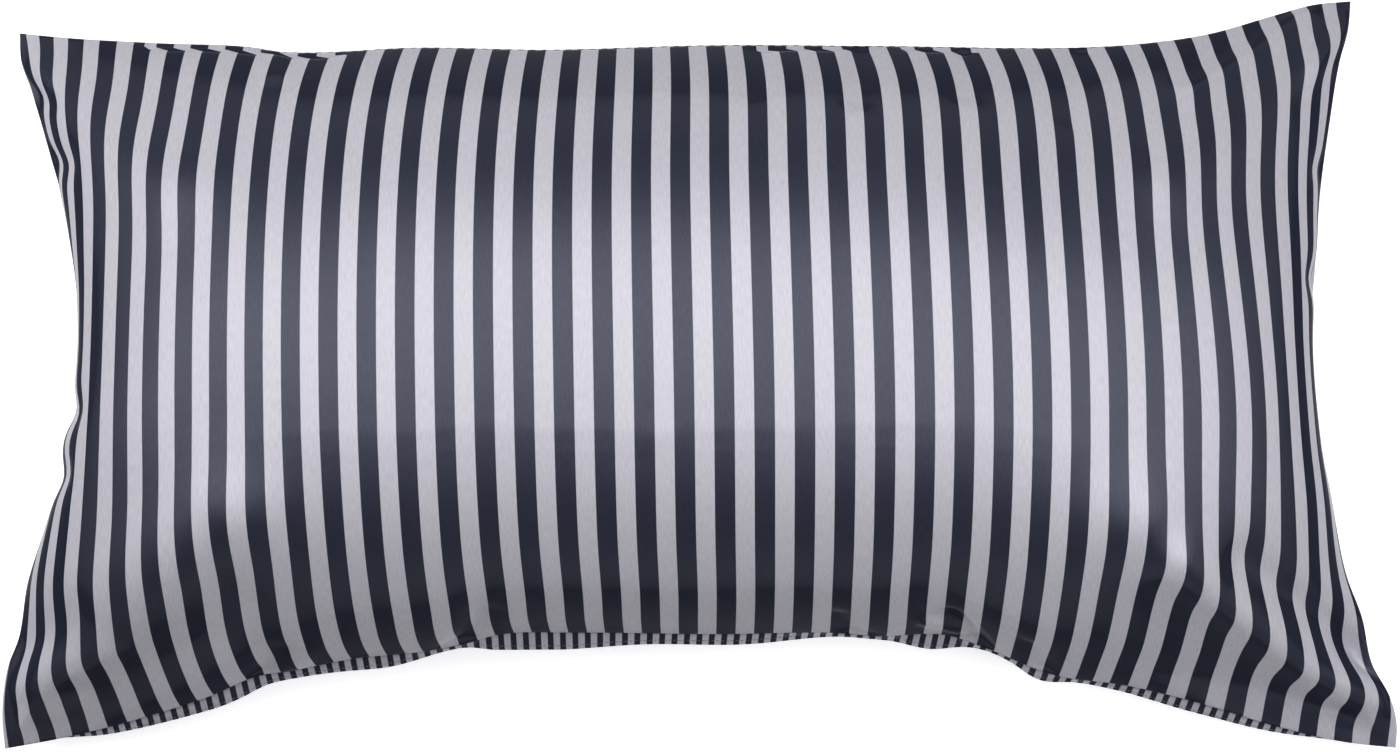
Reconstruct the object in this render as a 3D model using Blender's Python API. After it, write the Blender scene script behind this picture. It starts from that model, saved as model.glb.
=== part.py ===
"""A filled sateen pillowcase lying on its back.

The front panel is drawn over the filling, so the filled case is one solid with a crown,
drawn-in sides and four ears. The back panel is a sheet of its own under it, sewn to the
front along three sides. Along the bottom its hem is longer than the front's and shows as
a narrow lip.

X runs across the stripes, Y towards the top seam, Z up. The floor is at Z = 0.
Lengths are in metres and angles in degrees.
"""
import bpy
import bmesh
import numpy as np

# Cloth
PANEL_WIDTH = 0.80       # seam to seam, across the stripes
PANEL_HEIGHT = 0.41      # top seam to hem, along the stripes
BACK_THICKNESS = 0.0015
EDGE_THICKNESS = 0.0012  # the front's turned edge, where it meets the back panel
GAP = 0.0003             # between the two pieces

# Filled form
CROWN_HEIGHT = 0.178
END_SEAM_HEIGHT = 0.058   # middle of the left and right seams
LONG_SEAM_HEIGHT = 0.066  # middle of the top seam and of the hem
SEAM_RISE_POWER = 0.9

# Contact with the floor, as shares of the panel's half width and half height
CONTACT_ACROSS = 0.50
CONTACT_ALONG = 0.36
UNDERSIDE_POWER = 2.1

# Mesh: cells across and along, and how much smaller they are near the seams
CELLS_ACROSS = 60
CELLS_ALONG = 34
EDGE_CROWDING = 0.42
SLOPE_STEPS = 400        # steps of the sums that lay cloth along a slope
SAME_LEVEL = 1e-7        # points closer in height than this lie at one level

# Corners: x, y, height of the seam
CORNERS = {
    "bottom_left": (-0.3798, -0.2044, 0.022),
    "bottom_right": (0.3798, -0.2038, 0.022),
    "top_left": (-0.3704, 0.1857, 0.030),
    "top_right": (0.3534, 0.2028, 0.034),
}

# Edges: first and last corner, height at the middle
EDGES = {
    "hem": ("bottom_left", "bottom_right", LONG_SEAM_HEIGHT),
    "top": ("top_left", "top_right", LONG_SEAM_HEIGHT),
    "left": ("bottom_left", "top_left", END_SEAM_HEIGHT),
    "right": ("bottom_right", "top_right", END_SEAM_HEIGHT),
}

# How far each edge is drawn in from the straight line between its corners:
# share of the edge, inward
DRAWN_IN = {
    "hem": (
        (0.000, 0.0000), (0.052, 0.0073), (0.104, 0.0172), (0.156, 0.0297), (0.193, 0.0415),
        (0.215, 0.0441), (0.260, 0.0510), (0.311, 0.0553), (0.337, 0.0590), (0.366, 0.0648),
        (0.415, 0.0657), (0.519, 0.0649), (0.597, 0.0655), (0.628, 0.0636), (0.676, 0.0640),
        (0.700, 0.0582), (0.752, 0.0422), (0.804, 0.0360), (0.856, 0.0262), (0.908, 0.0138),
        (0.960, 0.0040), (1.000, 0.0000),
    ),
    "top": (
        (0.000, 0.0000), (0.052, 0.0042), (0.120, 0.0084), (0.180, 0.0117), (0.212, 0.0156),
        (0.311, 0.0155), (0.400, 0.0186), (0.519, 0.0185), (0.650, 0.0210), (0.778, 0.0235),
        (0.830, 0.0220), (0.882, 0.0172), (0.934, 0.0074), (0.965, 0.0020), (1.000, 0.0000),
    ),
    "left": (
        (0.000, 0.0000), (0.055, -0.0008), (0.116, 0.0026), (0.159, 0.0089), (0.242, 0.0145),
        (0.354, 0.0306), (0.440, 0.0402), (0.535, 0.0476), (0.629, 0.0443), (0.712, 0.0355),
        (0.831, 0.0203), (0.916, 0.0088), (0.959, 0.0020), (1.000, 0.0000),
    ),
    "right": (
        (0.000, 0.0000), (0.035, -0.0006), (0.072, 0.0030), (0.117, 0.0120), (0.180, 0.0166),
        (0.240, 0.0244), (0.342, 0.0308), (0.420, 0.0365), (0.540, 0.0389), (0.640, 0.0325),
        (0.750, 0.0258), (0.838, 0.0178), (0.918, 0.0095), (0.960, 0.0032), (1.000, 0.0000),
    ),
}

# Slope of the front across the stripes, in degrees: share up from the hem, turn at the
# left seam, turn at the right seam, slow turn over the crown
ACROSS_TURNS = (
    (0.00, 31, 0, 13),
    (0.06, 27, 0, 23),
    (0.12, 38, 23, 30),
    (0.25, 78, 67, 17),
    (0.50, 117, 100, 23),
    (0.75, 94, 80, 29),
    (0.88, 71, 60, 23),
    (0.95, 59, 50, 17),
    (1.00, 44, 39, 7),
)
ACROSS_SHARPNESS = 5.5
SLOW_POWER = 1.2         # how the slow turn grows away from the crown

# Slope of the front along the stripes: share across from the left, turn at the hem, turn
# at the top seam, slow turn over the crown
ALONG_TURNS = (
    (0.00, 6, 6, 2),
    (0.08, 42, 40, 30),
    (0.25, 66, 60, 76),
    (0.50, 68, 63, 86),
    (0.75, 66, 60, 76),
    (0.92, 42, 44, 30),
    (1.00, 6, 6, 2),
)
ALONG_SHARPNESS = 3.0

# Slope of the underside where it meets the seams
UNDERSIDE_TURN = 52
UNDERSIDE_SHARPNESS = 2.5
UNDERSIDE_EASE = 0.5     # how soon that slope starts away from the ears

# Folds in the front: start and end as shares across and up, half width, rise square to the
# cloth. A negative rise is a trough. The wide ones are the crests from the crown to the ears.
FOLDS = (
    (0.810, 0.300, 0.985, 0.060, 0.030, 0.0110),
    (0.190, 0.300, 0.020, 0.070, 0.030, 0.0110),
    (0.830, 0.760, 0.975, 0.940, 0.024, 0.0050),
    (0.150, 0.760, 0.020, 0.940, 0.024, 0.0050),
    (0.833, 0.267, 0.988, 0.070, 0.016, 0.0060),
    (0.882, 0.262, 0.992, 0.128, 0.016, -0.0058),
    (0.900, 0.110, 0.970, 0.035, 0.016, -0.0016),
    (0.012, 0.135, 0.080, 0.203, 0.016, -0.0014),
    (0.020, 0.086, 0.095, 0.147, 0.016, 0.0014),
    (0.002, 0.052, 0.068, 0.086, 0.016, -0.0011),
    (0.862, 0.885, 0.958, 0.986, 0.016, 0.0032),
    (0.965, 0.905, 0.995, 0.965, 0.016, 0.0024),
    (0.955, 0.860, 0.985, 0.900, 0.016, -0.0020),
    (0.962, 0.630, 0.990, 0.632, 0.016, -0.0024),
    (0.008, 0.820, 0.045, 0.812, 0.016, -0.0024),
    (0.010, 0.480, 0.060, 0.472, 0.016, -0.0032),
    (0.006, 0.380, 0.050, 0.388, 0.016, -0.0028),
    (0.196, 0.000, 0.222, 0.090, 0.016, -0.0028),
    (0.337, 0.000, 0.358, 0.080, 0.016, -0.0028),
    (0.612, 0.000, 0.600, 0.060, 0.016, -0.0020),
    (0.745, 0.000, 0.735, 0.060, 0.016, -0.0020),
    (0.622, 0.860, 0.630, 1.000, 0.016, -0.0016),
    (0.770, 0.850, 0.790, 1.000, 0.016, -0.0016),
)
FOLD_CALM_EDGE = 0.008   # folds fade out over this distance from a seam

LIP_FALL = 0.9           # drop of the hem lip for each metre that it shows

# The back's hem lip beyond the front's hem: share along the hem, how far it shows
LIP = (
    (0.000, 0.0000), (0.045, 0.0000), (0.080, 0.0040), (0.150, 0.0070), (0.180, 0.0080),
    (0.210, 0.0040), (0.280, 0.0060), (0.338, 0.0008), (0.362, 0.0072), (0.400, 0.0085),
    (0.470, 0.0048), (0.540, 0.0045), (0.608, 0.0006), (0.635, 0.0012), (0.668, 0.0075),
    (0.700, 0.0010), (0.722, 0.0010), (0.742, 0.0045), (0.768, 0.0012), (0.800, 0.0032),
    (0.850, 0.0060), (0.910, 0.0038), (0.950, 0.0004), (1.000, 0.0000),
)

MATERIALS = {
    "filled_case": ((0.46, 0.47, 0.54, 1.0), 0.45),
    "back_panel": ((0.30, 0.31, 0.36, 1.0), 0.50),
}


def column(rows, number, share):
    """Read one column of a table as a smooth curve over its first column."""
    table = np.array(rows, dtype=float)
    x, y = table[:, 0], table[:, number]
    steps = np.diff(y) / np.diff(x)
    slope = np.empty_like(y)
    slope[0], slope[-1] = steps[0], steps[-1]
    slope[1:-1] = (steps[:-1] + steps[1:]) / 2
    share = np.asarray(share, dtype=float)
    low = np.clip(np.searchsorted(x, share, side="right") - 1, 0, len(x) - 2)
    width = x[low + 1] - x[low]
    t = (share - x[low]) / width
    return (
        y[low] * (1 + 2 * t) * (1 - t) ** 2
        + y[low + 1] * t * t * (3 - 2 * t)
        + width * (slope[low] * t * (1 - t) ** 2 - slope[low + 1] * t * t * (1 - t))
    )


def drawn_in(name, share):
    """How far one edge lies from the straight line between its corners, as vectors."""
    first, last, middle = EDGES[name]
    start, end = np.array(CORNERS[first]), np.array(CORNERS[last])
    chord = (end - start)[:2]
    inward = np.array([-chord[1], chord[0]]) / np.hypot(*chord)
    if inward @ start[:2] > 0:
        inward = -inward
    plan = np.outer(column(DRAWN_IN[name], 1, share), inward)
    lift = middle - (start[2] + end[2]) / 2
    return np.column_stack([plan, lift * np.sin(np.pi * share) ** SEAM_RISE_POWER])


def lay_cloth(share, turn_low, turn_high, slow_turn, sharpness):
    """Lay a strip of cloth over the crown, from one seam to the other.

    The strip is level at its middle and turns down by the two turns at its ends.
    Returns each point's place between the seams, 0 to 1, and its rise, 0 to 1.
    """
    fine = np.linspace(0.0, 1.0, SLOPE_STEPS + 1)
    middle = (fine[:-1] + fine[1:]) / 2
    out = np.abs(2 * middle - 1)
    turn = np.where(middle < 0.5, turn_low, turn_high)
    angle = slow_turn * out ** SLOW_POWER + (turn - slow_turn) * out ** sharpness
    angle = np.radians(angle)
    place = np.concatenate([[0.0], np.cumsum(np.cos(angle))])
    climb = np.cumsum(np.sin(angle) * np.where(middle < 0.5, 1.0, -1.0))
    climb = np.concatenate([[0.0], climb])
    top = climb[SLOPE_STEPS // 2]
    rise = np.where(fine < 0.5, climb / top, (climb - climb[-1]) / (top - climb[-1]))
    return np.interp(share, fine, place / place[-1]), np.interp(share, fine, rise)


def graded(cells):
    """Shares from 0 to 1 with smaller cells at both ends."""
    even = np.linspace(0.0, 1.0, cells + 1)
    return even - EDGE_CROWDING * np.sin(2 * np.pi * even) / (2 * np.pi)


def stretch_between_edges(across, along, place_across, place_along):
    """Span the four edges: each point from its shares and its places between the edges."""
    a = place_across[:, :, None]
    b = place_along[:, :, None]
    corner = {name: np.array(point) for name, point in CORNERS.items()}
    flat = (
        (1 - a) * (1 - b) * corner["bottom_left"]
        + a * (1 - b) * corner["bottom_right"]
        + (1 - a) * b * corner["top_left"]
        + a * b * corner["top_right"]
    )
    sides = (1 - a) * drawn_in("left", along)[None] + a * drawn_in("right", along)[None]
    hem = drawn_in("hem", across)[:, None, :]
    top = drawn_in("top", across)[:, None, :]
    return flat + sides + (1 - b) * hem + b * top


def front_surface(across, along):
    """The front panel over the filling, as a grid of points."""
    shape = (len(across), len(along))
    place_across, rise_across = np.empty(shape), np.empty(shape)
    place_along, rise_along = np.empty(shape), np.empty(shape)
    for j, share in enumerate(along):
        turns = [column(ACROSS_TURNS, k, share) for k in (1, 2, 3)]
        place_across[:, j], rise_across[:, j] = lay_cloth(across, *turns, ACROSS_SHARPNESS)
    for i, share in enumerate(across):
        turns = [column(ALONG_TURNS, k, share) for k in (1, 2, 3)]
        place_along[i], rise_along[i] = lay_cloth(along, *turns, ALONG_SHARPNESS)
    points = stretch_between_edges(across, along, place_across, place_along)
    dome = rise_across * rise_along
    points[:, :, 2] += (CROWN_HEIGHT - points[:, :, 2]) * dome
    return points


def add_folds(points, across, along):
    """Raise and sink the cloth along each fold of the table, square to its surface."""
    x = across[:, None] * PANEL_WIDTH
    y = along[None, :] * PANEL_HEIGHT
    from_seam = np.minimum(
        np.minimum(x, PANEL_WIDTH - x), np.minimum(y, PANEL_HEIGHT - y)
    )
    calm = 1 - np.exp(-(from_seam / FOLD_CALM_EDGE) ** 2)
    away = -outward(points)
    for x0, y0, x1, y1, half_width, rise in FOLDS:
        start = np.array([x0 * PANEL_WIDTH, y0 * PANEL_HEIGHT])
        run = np.array([x1 * PANEL_WIDTH, y1 * PANEL_HEIGHT]) - start
        length = np.hypot(*run)
        run = run / length
        forward = (x - start[0]) * run[0] + (y - start[1]) * run[1]
        nearest = np.clip(forward, 0.0, length)
        off_x = x - start[0] - nearest * run[0]
        off_y = y - start[1] - nearest * run[1]
        amount = np.exp(-(off_x ** 2 + off_y ** 2) / half_width ** 2) * calm
        points += away * (rise * amount)[:, :, None]
    return points


def underside_surface(across, along):
    """The underside of the filled form: level where it rests, up to the seams around."""
    shape = (len(across), len(along))
    place_across, place_along = np.empty(shape), np.empty(shape)
    for j, share in enumerate(along):
        seam_turns = [column(ACROSS_TURNS, k, round(share)) for k in (1, 2, 3)]
        at_edge, _ = lay_cloth(across, *seam_turns, ACROSS_SHARPNESS)
        under, _ = lay_cloth(across, UNDERSIDE_TURN, UNDERSIDE_TURN, 0, UNDERSIDE_SHARPNESS)
        inside = np.sin(np.pi * share) ** UNDERSIDE_EASE
        place_across[:, j] = at_edge + (under - at_edge) * inside
    for i, share in enumerate(across):
        seam_turns = [column(ALONG_TURNS, k, round(share)) for k in (1, 2, 3)]
        at_edge, _ = lay_cloth(along, *seam_turns, ALONG_SHARPNESS)
        under, _ = lay_cloth(along, UNDERSIDE_TURN, UNDERSIDE_TURN, 0, UNDERSIDE_SHARPNESS)
        inside = np.sin(np.pi * share) ** UNDERSIDE_EASE
        place_along[i] = at_edge + (under - at_edge) * inside
    points = stretch_between_edges(across, along, place_across, place_along)
    out_x = np.clip((np.abs(2 * across - 1) - CONTACT_ACROSS) / (1 - CONTACT_ACROSS), 0, 1)
    out_y = np.clip((np.abs(2 * along - 1) - CONTACT_ALONG) / (1 - CONTACT_ALONG), 0, 1)
    level = (1 - out_x[:, None] ** UNDERSIDE_POWER) * (1 - out_y[None, :] ** UNDERSIDE_POWER)
    rest = BACK_THICKNESS + GAP
    points[:, :, 2] = rest + (points[:, :, 2] - rest) * (1 - level)
    return points


def outward(points):
    """Unit normals of a grid of points, pointing down and out of the underside."""
    step_x = np.gradient(points, axis=0)
    step_y = np.gradient(points, axis=1)
    normal = np.cross(step_y, step_x)
    return normal / np.linalg.norm(normal, axis=2, keepdims=True)


def closed_body(name, upper, lower):
    """Close two grids of points into one solid, flat rests joined into one face each."""
    mesh = bpy.data.meshes.new(name)
    shaped = bmesh.new()
    cols, rows = upper.shape[:2]
    grids = [[[shaped.verts.new(p) for p in line] for line in grid] for grid in (upper, lower)]
    for side, grid in enumerate(grids):
        for i in range(cols - 1):
            for j in range(rows - 1):
                low, high = grid[i][j], grid[i + 1][j + 1]
                for ring in ([low, grid[i + 1][j], high], [low, high, grid[i][j + 1]]):
                    shaped.faces.new(ring if side == 0 else ring[::-1])
    rim = [(i, 0) for i in range(cols)] + [(cols - 1, j) for j in range(1, rows)]
    rim += [(i, rows - 1) for i in range(cols - 2, -1, -1)] + [(0, j) for j in range(rows - 2, 0, -1)]
    for (i, j), (m, n) in zip(rim, rim[1:] + rim[:1]):
        shaped.faces.new([grids[0][m][n], grids[0][i][j], grids[1][i][j], grids[1][m][n]])
    join_level_faces(shaped, lower[:, :, 2].min())
    join_level_faces(shaped, upper[:, :, 2].min())
    shaped.normal_update()
    shaped.to_mesh(mesh)
    shaped.free()
    mesh.shade_smooth()
    body = bpy.data.objects.new(name, mesh)
    bpy.context.scene.collection.objects.link(body)
    return body


def join_level_faces(shaped, level):
    """Join the faces that lie at one level into a single flat face."""
    flat = [f for f in shaped.faces if all(abs(v.co.z - level) < SAME_LEVEL for v in f.verts)]
    if len(flat) > 1:
        bmesh.ops.dissolve_faces(shaped, faces=flat, use_verts=False)


def cloth_material(name, colour, roughness):
    """A plain cloth finish."""
    material = bpy.data.materials.new(name)
    material.use_nodes = True
    shader = material.node_tree.nodes["Principled BSDF"]
    shader.inputs["Base Color"].default_value = colour
    shader.inputs["Roughness"].default_value = roughness
    shader.inputs["Metallic"].default_value = 0.0
    return material


def filled_case(across, along, underside):
    """The front panel, drawn round the filling, as one crowned solid."""
    edge = np.array([0.0, 0.0, EDGE_THICKNESS])
    front = add_folds(front_surface(across, along), across, along) + edge
    front[0, :], front[-1, :] = underside[0, :] + edge, underside[-1, :] + edge
    front[:, 0], front[:, -1] = underside[:, 0] + edge, underside[:, -1] + edge
    return closed_body("filled_case", front, underside)


def back_panel(across, underside):
    """The back panel, one sheet under the filled case with its hem lip in front."""
    away = outward(underside)
    inner = underside + away * GAP
    outer = underside + away * (GAP + BACK_THICKNESS)
    lip = column(LIP, 1, across)
    for side in (inner, outer):
        side[:, 0, 1] -= lip
        side[:, 0, 2] -= lip * LIP_FALL
    return closed_body("back_panel", inner, outer)


def centre_on_origin(pieces):
    """Put the middle of the whole part's box over the origin."""
    corners = [corner for piece in pieces for corner in piece.bound_box]
    low, high = np.min(corners, axis=0), np.max(corners, axis=0)
    for piece in pieces:
        for vertex in piece.data.vertices:
            vertex.co.x -= (low[0] + high[0]) / 2
            vertex.co.y -= (low[1] + high[1]) / 2


def clear_scene():
    """Start from an empty scene."""
    for thing in list(bpy.data.objects):
        bpy.data.objects.remove(thing, do_unlink=True)


def main():
    clear_scene()
    across, along = graded(CELLS_ACROSS), graded(CELLS_ALONG)
    underside = underside_surface(across, along)
    pieces = [filled_case(across, along, underside), back_panel(across, underside)]
    for piece in pieces:
        colour, roughness = MATERIALS[piece.name]
        piece.data.materials.append(cloth_material(piece.name, colour, roughness))
    centre_on_origin(pieces)


main()
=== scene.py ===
"""Looks of the filled sateen pillowcase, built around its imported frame.

The front panel and the back panel are laid again on the same tables as their solids, much
finer, with the folds, puckers, hems and stitches that the cloth shows. Lengths are in
metres, angles in degrees, and shares run from 0 at the left seam or the hem to 1 at the
right seam or the top seam.
"""
import math
from collections import namedtuple

import bpy
import numpy as np
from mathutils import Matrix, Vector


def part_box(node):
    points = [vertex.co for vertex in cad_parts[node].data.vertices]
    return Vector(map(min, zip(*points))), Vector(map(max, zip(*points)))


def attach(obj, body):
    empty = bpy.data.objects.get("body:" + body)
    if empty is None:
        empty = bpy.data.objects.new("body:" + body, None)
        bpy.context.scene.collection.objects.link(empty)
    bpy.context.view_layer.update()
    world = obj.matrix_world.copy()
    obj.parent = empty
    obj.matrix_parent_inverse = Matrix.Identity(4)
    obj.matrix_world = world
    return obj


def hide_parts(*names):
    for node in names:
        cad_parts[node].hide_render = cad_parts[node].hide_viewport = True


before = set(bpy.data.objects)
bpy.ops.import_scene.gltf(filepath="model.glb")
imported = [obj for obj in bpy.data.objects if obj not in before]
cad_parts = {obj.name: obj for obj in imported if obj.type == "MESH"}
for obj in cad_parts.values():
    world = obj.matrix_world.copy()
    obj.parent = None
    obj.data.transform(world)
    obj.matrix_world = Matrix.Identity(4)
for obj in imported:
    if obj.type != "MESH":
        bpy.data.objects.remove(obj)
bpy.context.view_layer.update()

bl_info = {
    "name": "Filled striped pillowcase",
    "version": (1, 0, 0),
    "blender": (4, 5, 0),
    "location": "View3D > Sidebar > Pillowcase",
    "description": "Lays the striped sateen panels of a filled pillowcase over its frame",
    "category": "Object",
}

CASE_LOW, CASE_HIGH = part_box("filled_case")

# The cloth as cut and woven
PANEL_WIDTH = 0.80       # from seam to seam, across the stripes
PANEL_HEIGHT = 0.41      # from the hem to the top seam
STRIPE_PAIRS = 38.55     # of the front, from seam to seam
BACK_PAIRS_PER_FRONT = 3

# Form, repeated from the part's source
GAP = 0.0003             # between the filling and the back panel
EDGE_THICKNESS = 0.0012  # of the filled form along its seams
SEAM_RISE_POWER = 0.9    # how fast a seam rises from its corners
CONTACT_ACROSS = 0.50    # share of the width that lies flat
CONTACT_ALONG = 0.36     # share of the height that lies flat
UNDERSIDE_POWER = 2.1    # how the underside rises beyond that
UNDERSIDE_TURN = 52
UNDERSIDE_SHARPNESS = 2.5
UNDERSIDE_EASE = 0.5     # how soon the underside leaves the seam's own places
ACROSS_SHARPNESS = 5.5
ALONG_SHARPNESS = 3.0
SLOW_POWER = 1.2         # how the slow turn grows away from the crown
SLOPE_STEPS = 400
EDGE_CROWDING = 0.42     # how much smaller the mesh cells get towards the seams
BACK_CELL_LENGTH = 2     # one mesh cell of the back along, in cells of the front
SHARP_ANGLE = 60         # edges that bend more than this stay sharp

CORNERS = {
    "bottom_left": (-0.3798, -0.2044, 0.022),
    "bottom_right": (0.3798, -0.2038, 0.022),
    "top_left": (-0.3704, 0.1857, 0.030),
    "top_right": (0.3534, 0.2028, 0.034),
}

# How far each edge is drawn in from the line between its corners: share, inward. The corners
# and these values were worked out from points on the photo's outline, some then moved.
DRAWN_IN = {
    "hem": (
        (0.000, 0.0000), (0.052, 0.0073), (0.104, 0.0172), (0.156, 0.0297), (0.193, 0.0415),
        (0.215, 0.0441), (0.260, 0.0510), (0.311, 0.0553), (0.337, 0.0590), (0.366, 0.0648),
        (0.415, 0.0657), (0.519, 0.0649), (0.597, 0.0655), (0.628, 0.0636), (0.676, 0.0640),
        (0.700, 0.0582), (0.752, 0.0422), (0.804, 0.0360), (0.856, 0.0262), (0.908, 0.0138),
        (0.960, 0.0040), (1.000, 0.0000),
    ),
    "top": (
        (0.000, 0.0000), (0.052, 0.0042), (0.120, 0.0084), (0.180, 0.0117), (0.212, 0.0156),
        (0.311, 0.0155), (0.400, 0.0186), (0.519, 0.0185), (0.650, 0.0210), (0.778, 0.0235),
        (0.830, 0.0220), (0.882, 0.0172), (0.934, 0.0074), (0.965, 0.0020), (1.000, 0.0000),
    ),
    "left": (
        (0.000, 0.0000), (0.055, -0.0008), (0.116, 0.0026), (0.159, 0.0089), (0.242, 0.0145),
        (0.354, 0.0306), (0.440, 0.0402), (0.535, 0.0476), (0.629, 0.0443), (0.712, 0.0355),
        (0.831, 0.0203), (0.916, 0.0088), (0.959, 0.0020), (1.000, 0.0000),
    ),
    "right": (
        (0.000, 0.0000), (0.035, -0.0006), (0.072, 0.0030), (0.117, 0.0120), (0.180, 0.0166),
        (0.240, 0.0244), (0.342, 0.0308), (0.420, 0.0365), (0.540, 0.0389), (0.640, 0.0325),
        (0.750, 0.0258), (0.838, 0.0178), (0.918, 0.0095), (0.960, 0.0032), (1.000, 0.0000),
    ),
}

# Slope across the stripes: share up, turn at the left seam, at the right seam, slow turn.
# These values come from a least-squares fit to the stripe lines in the photo.
ACROSS_TURNS = (
    (0.00, 31, 0, 13),
    (0.06, 27, 0, 23),
    (0.12, 38, 23, 30),
    (0.25, 78, 67, 17),
    (0.50, 117, 100, 23),
    (0.75, 94, 80, 29),
    (0.88, 71, 60, 23),
    (0.95, 59, 50, 17),
    (1.00, 44, 39, 7),
)

# Slope along the stripes: share across, turn at the hem, at the top seam, slow turn
ALONG_TURNS = (
    (0.00, 6, 6, 2),
    (0.08, 42, 40, 30),
    (0.25, 66, 60, 76),
    (0.50, 68, 63, 86),
    (0.75, 66, 60, 76),
    (0.92, 42, 44, 30),
    (1.00, 6, 6, 2),
)

# The back's hem lip beyond the front's hem: share along the hem, how far it shows
LIP = (
    (0.000, 0.0000), (0.045, 0.0000), (0.080, 0.0040), (0.150, 0.0070), (0.180, 0.0080),
    (0.210, 0.0040), (0.280, 0.0060), (0.338, 0.0008), (0.362, 0.0072), (0.400, 0.0085),
    (0.470, 0.0048), (0.540, 0.0045), (0.608, 0.0006), (0.635, 0.0012), (0.668, 0.0075),
    (0.700, 0.0010), (0.722, 0.0010), (0.742, 0.0045), (0.768, 0.0012), (0.800, 0.0032),
    (0.850, 0.0060), (0.910, 0.0038), (0.950, 0.0004), (1.000, 0.0000),
)

# Where the cloth lies, seen from above: share up, then for each of the shares across how far
# it lies to the right of even spacing, in millimetres. These values come from a fit to the
# same stripe lines, rounded, with three of the last row raised.
PLACE_ACROSS = (0.00, 0.05, 0.11, 0.19, 0.31, 0.50, 0.69, 0.81, 0.89, 0.95, 1.00)
PLACE = (
    (0.00, 20, 16, 16, 9, 2, -6, -11, -23, -22, -22, -20),
    (0.05, 24, 16, 13, 6, 0, -6, -11, -21, -21, -22, -27),
    (0.12, 30, 17, 10, 3, -1, -6, -11, -18, -20, -24, -37),
    (0.24, 43, 16, 10, 3, -3, -7, -10, -16, -21, -26, -51),
    (0.45, 68, 27, 10, 1, -5, -8, -10, -14, -20, -38, -64),
    (0.72, 61, 27, 11, 1, -5, -10, -14, -19, -29, -40, -60),
    (0.90, 40, 21, 11, 3, -2, -10, -16, -21, -29, -36, -51),
    (1.00, 26, 15, 10, 6, 1, -11, -21, -26, -32, -37, -38),
)
MM_PER_METRE = 1000
PLACE_STEPS = 800
PLACE_EDGE = 0.07        # nearer the side seams than this share, the slip stays the same

# How far the cloth rolled in along the top seam is slid: share across, slip to the right
ROLLED_SLIP = (
    (0.100, 0.0000), (0.112, -0.0070), (0.180, -0.0085), (0.250, -0.0075), (0.262, 0.0000),
    (0.548, 0.0000), (0.560, -0.0060), (0.612, -0.0060), (0.625, 0.0000), (0.650, 0.0000),
    (0.662, -0.0050), (0.705, -0.0050), (0.718, 0.0000),
)
ROLLED_FROM = 0.990      # share up at which the rolled cloth starts

# Drop of the lip for each metre that it shows
LIP_FALL = 0.9

# The back panel thins towards the three seams, where it turns in
SEAM_TAPER_WIDTH = 0.012
SEAM_TAPER_LEAST = 0.25

Lamp = namedtuple("Lamp", "name long short x y z tilt turn power_share")

# Soft lights: the wide one overhead and a weak one at each side, turned to the middle
LAMPS = (
    Lamp("overhead_light", 2.9, 1.04, -0.06, 0.175, 1.0, 0, -13, 1.0),
    Lamp("left_light", 1.6, 0.9, -1.6, 0.35, 0.8, -60, 0, 0.26),
    Lamp("right_light", 1.6, 0.9, 1.6, 0.10, 0.8, 60, 0, 0.12),
)

Fold = namedtuple("Fold", "from_across from_up to_across to_up half_width rise calm")

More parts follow.
